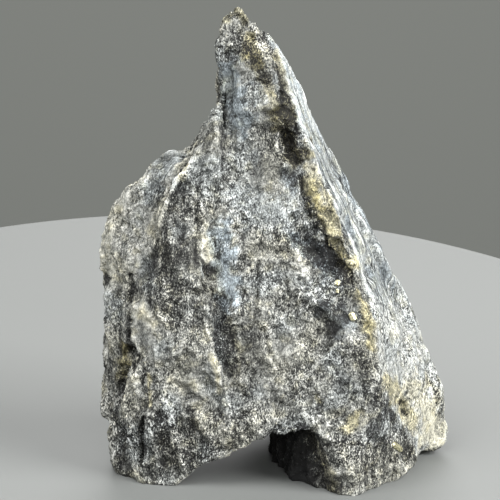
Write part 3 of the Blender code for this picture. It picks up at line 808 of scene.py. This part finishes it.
def grain_piece(name, stone, wear_and_painted_shade, tree, seed, tilt, sizes, thickness, stands_out):
    """Thousands of small angular grains, about flush with the face, and longer where it cuts the layers."""
    random = np.random.default_rng(seed)
    places, facings, wear_and_painted_shade = scattered(stone, wear_and_painted_shade, GRAINS_IN_A_PIECE, random)
    keep = (places[:, 2] > LOWEST_GRAIN) & (clear_of_crystals(places, GRAIN_SLOPE) > 0.5)
    places, facings, wear_and_painted_shade = places[keep], facings[keep], wear_and_painted_shade[keep]
    patches = rock_patches(places, facings, tree)
    keep = random.random(len(places)) > np.maximum(patches["smooth"] * 0.85, patches["side"] * 0.6)
    places, facings, wear_and_painted_shade = places[keep], facings[keep], wear_and_painted_shade[keep]
    patches = {key: rows[keep] for key, rows in patches.items()}
    count = len(places)
    edge = edge_on(facings)
    outward = unit(facings + random.normal(0.0, tilt, (count, 3)))
    strike = np.cross(np.broadcast_to(ACROSS_LAYERS, facings.shape), facings)
    along = strike * 2.2 + random.normal(0.0, 0.4, (count, 3))
    along = unit(along - np.sum(along * outward, 1)[:, None] * outward)
    beside = np.cross(outward, along)
    size = random.uniform(sizes[0], sizes[1], count) * MM / 2
    half = np.stack([
        size * (1.0 + 0.9 * edge),
        size * random.uniform(0.55, 0.95, count) * (1.0 - 0.3 * edge),
        thickness * MM / 2 * random.uniform(0.7, 1.3, count),
    ], 1)
    axes = np.stack([along, beside, outward], 1)
    offsets = BOX_SIGNS[None] * random.uniform(0.55, 1.0, (count, 8, 3)) * half[:, None, :]
    sunk = (random.uniform(stands_out[0], stands_out[1], count) * MM - half[:, 2])[:, None]
    corners = (places + facings * sunk)[:, None, :] + np.einsum("nki,nij->nkj", offsets, axes)
    corners[:, :, 2] = np.maximum(corners[:, :, 2], 0.02 * MM)
    mesh = chips_mesh(name, corners)
    spread = random.choice([-0.09, -0.05, 0.0, 0.04, 0.07], count) * patches["speckle"]
    # Each grain takes the skin's value shift for wear, dirt and painted shade where it sits.
    value = patches["value"] + wear_and_painted_shade + spread
    warmth = random.choice([0.0, 0.1, 0.35], count, p=[0.5, 0.35, 0.15])
    store_look(mesh, value, patches, warmth, len(BOX_SIGNS))
    piece = bpy.data.objects.new(name, mesh)
    bpy.context.scene.collection.objects.link(piece)
    return piece


def add_node(tree, kind, settings=None, links=None):
    """Adds a node: settings by attribute, socket name or socket number, links from a socket to an output."""
    made = tree.nodes.new(kind)
    for key, value in (settings or {}).items():
        if isinstance(key, int) or key in made.inputs:
            made.inputs[key].default_value = value
        else:
            setattr(made, key, value)
    for key, source in (links or {}).items():
        tree.links.new(source, made.inputs[key])
    return made


def new_material(name):
    """An empty material and its node tree."""
    made = bpy.data.materials.new(name)
    made.use_nodes = True
    made.node_tree.nodes.clear()
    return made, made.node_tree


def finish_material(tree, shader):
    """Links a shader to the material's surface."""
    output = add_node(tree, "ShaderNodeOutputMaterial")
    tree.links.new(shader.outputs["BSDF"], output.inputs["Surface"])


def noise_pattern(tree, size, places, settings):
    """Noise with lumps of a size in millimetres."""
    return add_node(tree, "ShaderNodeTexNoise", {"Scale": 1.0 / (size * MM), **settings}, {"Vector": places})


def remapped(tree, source, reads, gives):
    """A value carried from one range to another, and no further than its ends."""
    settings = {"From Min": reads[0], "From Max": reads[1], "To Min": gives[0], "To Max": gives[1]}
    return add_node(tree, "ShaderNodeMapRange", settings, {"Value": source}).outputs["Result"]


def off_middle(tree, source):
    """How far noise is from its middle, which it passes along thin wiry lines."""
    shifted = add_node(tree, "ShaderNodeMath", {"operation": "SUBTRACT", 1: 0.5}, {0: source})
    size = add_node(tree, "ShaderNodeMath", {"operation": "ABSOLUTE"}, {0: shifted.outputs["Value"]})
    return size.outputs["Value"]


def added(tree, one, other):
    """The sum of two values."""
    return add_node(tree, "ShaderNodeMath", {"operation": "ADD"}, {0: one, 1: other}).outputs["Value"]


def layered_coordinates(tree, length, thinness):
    """Object coordinates turned into the layers, drawn out down the face and squeezed across the layers."""
    place = add_node(tree, "ShaderNodeTexCoord")
    turn = (math.radians(90.0 - LAYER_LEAN_DEG), 0.0, 0.0)
    turned = add_node(
        tree, "ShaderNodeMapping",
        {"vector_type": "TEXTURE", "Rotation": turn, "Scale": (1.0, length, thinness)},
        {"Vector": place.outputs["Object"]},
    )
    return turned.outputs["Vector"]


def speckled_rock(tree):
    """The rock's colour with its finest pattern: grit, dust, pale threads, fissures, flakes and thin layers."""
    layered = layered_coordinates(tree, 1.8, 0.6)
    thin_layers = layered_coordinates(tree, 1.0, 0.035)
    value = add_node(tree, "ShaderNodeAttribute", {"attribute_name": "rock_value"})
    tint = add_node(tree, "ShaderNodeAttribute", {"attribute_name": "stain_tint"})
    speckle = add_node(tree, "ShaderNodeAttribute", {"attribute_name": "speckle"})
    edge = add_node(tree, "ShaderNodeAttribute", {"attribute_name": "layered"})
    grit = noise_pattern(tree, 0.5, layered, {"Detail": 2.0, "Roughness": 0.7})
    grit_part = remapped(tree, grit.outputs["Fac"], (0.3, 0.7), (-0.20, 0.09))
    dust = noise_pattern(tree, 0.13, layered, {"Detail": 1.0, "Roughness": 0.6})
    dust_part = remapped(tree, dust.outputs["Fac"], (0.36, 0.64), (-0.26, 0.18))
    web = noise_pattern(tree, 0.5, layered, {"Detail": 1.0, "Distortion": 1.6})
    threads = remapped(tree, off_middle(tree, web.outputs["Fac"]), (0.01, 0.07), (0.28, -0.06))
    cracks = noise_pattern(tree, 1.1, layered, {"Detail": 2.0, "Distortion": 1.0})
    fissures = remapped(tree, off_middle(tree, cracks.outputs["Fac"]), (0.004, 0.03), (-0.34, 0.0))
    bent = add_node(
        tree, "ShaderNodeVectorMath", {"operation": "MULTIPLY_ADD", 1: (0.5 * MM, 0.5 * MM, 0.5 * MM)},
        {0: grit.outputs["Color"], 2: layered},
    )
    flakes = add_node(
        tree, "ShaderNodeTexVoronoi", {"Scale": 1.0 / (0.62 * MM)}, {"Vector": bent.outputs["Vector"]}
    )
    flake_part = remapped(tree, flakes.outputs["Color"], (0.0, 1.0), (-0.10, 0.10))
    lines = noise_pattern(tree, 5.0, thin_layers, {"Detail": 2.0, "Roughness": 0.6})
    line_part = remapped(tree, lines.outputs["Fac"], (0.36, 0.64), (-0.24, 0.14))
    fine = added(tree, grit_part, dust_part)
    coarse = added(tree, added(tree, flake_part, threads), fissures)
    pattern = added(tree, fine, coarse)
    speckled = add_node(
        tree, "ShaderNodeMath", {"operation": "MULTIPLY_ADD"},
        {0: pattern, 1: speckle.outputs["Fac"], 2: value.outputs["Fac"]},
    )
    lined = add_node(
        tree, "ShaderNodeMath", {"operation": "MULTIPLY_ADD"},
        {0: line_part, 1: edge.outputs["Fac"], 2: speckled.outputs["Value"]},
    )
    tones = add_node(tree, "ShaderNodeValToRGB", {}, {"Fac": lined.outputs["Value"]})
    stops = tones.color_ramp.elements
    while len(stops) < len(ROCK_STOPS):
        stops.new(0.5)
    for stop, position, tone in zip(stops, ROCK_STOPS, ROCK_TONES):
        stop.position = position
        stop.color = (*tone, 1.0)
    stained = add_node(
        tree, "ShaderNodeVectorMath", {"operation": "MULTIPLY"},
        {0: tones.outputs["Color"], 1: tint.outputs["Color"]},
    )
    return stained.outputs["Vector"], lined.outputs["Value"], flakes.outputs["Color"]


def schist_material():
    """Broken mica schist between its grains: dull, gritty, a little shinier where the grit is pale."""
    made, tree = new_material("broken mica schist")
    colour, value, flakes = speckled_rock(tree)
    pits = noise_pattern(tree, 0.2, layered_coordinates(tree, 1.5, 0.5), {"Detail": 3.0})
    flake_steps = add_node(
        tree, "ShaderNodeBump", {"Strength": 0.8, "Distance": 0.07 * MM}, {"Height": flakes}
    )
    bump = add_node(
        tree, "ShaderNodeBump", {"Strength": 0.8, "Distance": 0.06 * MM},
        {"Height": pits.outputs["Fac"], "Normal": flake_steps.outputs["Normal"]},
    )
    roughness = remapped(tree, value, (0.0, 1.0), (0.85, 0.5))
    shader = add_node(
        tree, "ShaderNodeBsdfPrincipled", {"IOR": 1.56, "Specular IOR Level": 0.3},
        {"Base Color": colour, "Roughness": roughness, "Normal": bump.outputs["Normal"]},
    )
    finish_material(tree, shader)
    return made


def grain_material(name, roughness, ior, shine):
    """Single grains: each has its own colour under the rock's fine pattern, and its own flat, clean faces."""
    made, tree = new_material(name)
    colour, _, _ = speckled_rock(tree)
    shader = add_node(
        tree, "ShaderNodeBsdfPrincipled", {"Roughness": roughness, "IOR": ior, "Specular IOR Level": shine},
        {"Base Color": colour},
    )
    finish_material(tree, shader)
    return made


def calaverite_material():
    """Calaverite: a pale brassy metal with fine dull lines down the blade, which break up its shine."""
    made, tree = new_material("striated calaverite")
    place = add_node(tree, "ShaderNodeTexCoord")
    turn = (0.0, math.radians(STRIATION_TURN_DEG), 0.0)
    along_blade = add_node(
        tree, "ShaderNodeMapping",
        {"vector_type": "TEXTURE", "Rotation": turn, "Scale": (1.0, 1.0, 6.0)},
        {"Vector": place.outputs["Object"]},
    )
    lines = noise_pattern(tree, 0.14, along_blade.outputs["Vector"], {"Detail": 1.0})
    tones = add_node(tree, "ShaderNodeValToRGB", {}, {"Fac": lines.outputs["Fac"]})
    for stop, position, tone in zip(tones.color_ramp.elements, (0.40, 0.54), ("#8f8a68", "#e4dfbe")):
        stop.position = position
        stop.color = (*linear(tone), 1.0)
    bump = add_node(
        tree, "ShaderNodeBump", {"Strength": 0.8, "Distance": 0.04 * MM}, {"Height": lines.outputs["Fac"]}
    )
    shader = add_node(
        tree, "ShaderNodeBsdfPrincipled", {"Metallic": 1.0, "Roughness": 0.5},
        {"Base Color": tones.outputs["Color"], "Normal": bump.outputs["Normal"]},
    )
    finish_material(tree, shader)
    return made


def plain_material(name, hex_colour, roughness):
    """One even colour, for the staging."""
    made, tree = new_material(name)
    shader = add_node(
        tree, "ShaderNodeBsdfPrincipled", {"Base Color": (*linear(hex_colour), 1.0), "Roughness": roughness}
    )
    finish_material(tree, shader)
    return made


def dress(piece, material):
    """Gives a piece its material and slot, and lets it ride on the part's one body."""
    piece.data.materials.clear()
    piece.data.materials.append(material)
    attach(piece, "root")


def stage_piece(name, bm, material):
    """Makes a piece of the staging, which is no part of the specimen."""
    mesh = bpy.data.meshes.new(name)
    bm.to_mesh(mesh)
    bm.free()
    piece = bpy.data.objects.new(name, mesh)
    bpy.context.scene.collection.objects.link(piece)
    piece.data.materials.append(material)


def staging():
    """A pale floor with a round rim, and a grey backdrop behind it."""
    bm = bmesh.new()
    oval = Matrix.Translation(FLOOR_CENTRE) @ Matrix.Diagonal((*FLOOR_RADII, 1.0, 1.0))
    bmesh.ops.create_circle(bm, cap_ends=True, radius=1.0, segments=160, matrix=oval)
    stage_piece("floor", bm, plain_material("pale matt floor", "#606260", 0.6))
    bm = bmesh.new()
    upright = Matrix.Translation(BACKDROP_CENTRE) @ Matrix.Rotation(math.radians(90.0), 4, "X")
    bmesh.ops.create_grid(bm, x_segments=1, y_segments=1, size=BACKDROP_SIZE, matrix=upright)
    stage_piece("backdrop", bm, plain_material("grey backdrop paper", "#8b8d88", 0.9))


def soft_light(name, azimuth_deg, height_deg, distance, size, power):
    """A square soft light that looks at the stone. Azimuth 0 is from the camera, 90 from the right."""
    data = bpy.data.lights.new(name, "AREA")
    data.size = size
    data.energy = power
    light = bpy.data.objects.new(name, data)
    a, h = math.radians(azimuth_deg), math.radians(height_deg)
    toward = Vector((math.sin(a) * math.cos(h), -math.cos(a) * math.cos(h), math.sin(h)))
    light.location = LOOKS_AT + toward * distance
    light.rotation_euler = toward.to_track_quat("Z", "Y").to_euler()
    bpy.context.scene.collection.objects.link(light)


def camera():
    """The photograph's camera."""
    data = bpy.data.cameras.new("camera")
    data.lens = LENS
    data.sensor_width = SENSOR
    data.clip_start = 0.01
    data.clip_end = 10.0
    made = bpy.data.objects.new("camera", data)
    made.location = EYE
    made.rotation_euler = TOWARD_CAMERA.to_track_quat("Z", "Y").to_euler()
    bpy.context.scene.collection.objects.link(made)
    bpy.context.scene.camera = made


def even_light():
    """The world's even grey light, with the colours shown as they are."""
    world = bpy.data.worlds.new("studio")
    bpy.context.scene.world = world
    world.use_nodes = True
    background = world.node_tree.nodes["Background"]
    background.inputs["Color"].default_value = WORLD_COLOUR
    background.inputs["Strength"].default_value = WORLD_STRENGTH
    bpy.context.scene.view_settings.view_transform = "Standard"


def build():
    """The dressed stone with its grains and crystals, on its staging."""
    stone, tree = fine_stone()
    wear_and_painted_shade = roughen(stone, tree)
    dress(stone, schist_material())
    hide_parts("schist_matrix")
    grains = grain_material("quartz and feldspar grains", 0.6, 1.54, 0.35)
    mica = grain_material("mica flakes", 0.35, 1.6, 0.5)
    for i, seed in enumerate(QUARTZ_SEEDS):
        piece = grain_piece(f"stone_grains_{i + 1}", stone, wear_and_painted_shade, tree, seed, **QUARTZ_GRAINS)
        dress(piece, grains)
    piece = grain_piece("mica_flakes", stone, wear_and_painted_shade, tree, MICA_SEED, **MICA_FLAKES)
    dress(piece, mica)
    brassy = calaverite_material()
    for name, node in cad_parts.items():
        if name.startswith("calaverite"):
            node.data.materials.clear()
            node.data.materials.append(brassy)
    staging()
    for name, settings in LIGHTS.items():
        soft_light(name, *settings)
    even_light()
    camera()


build()
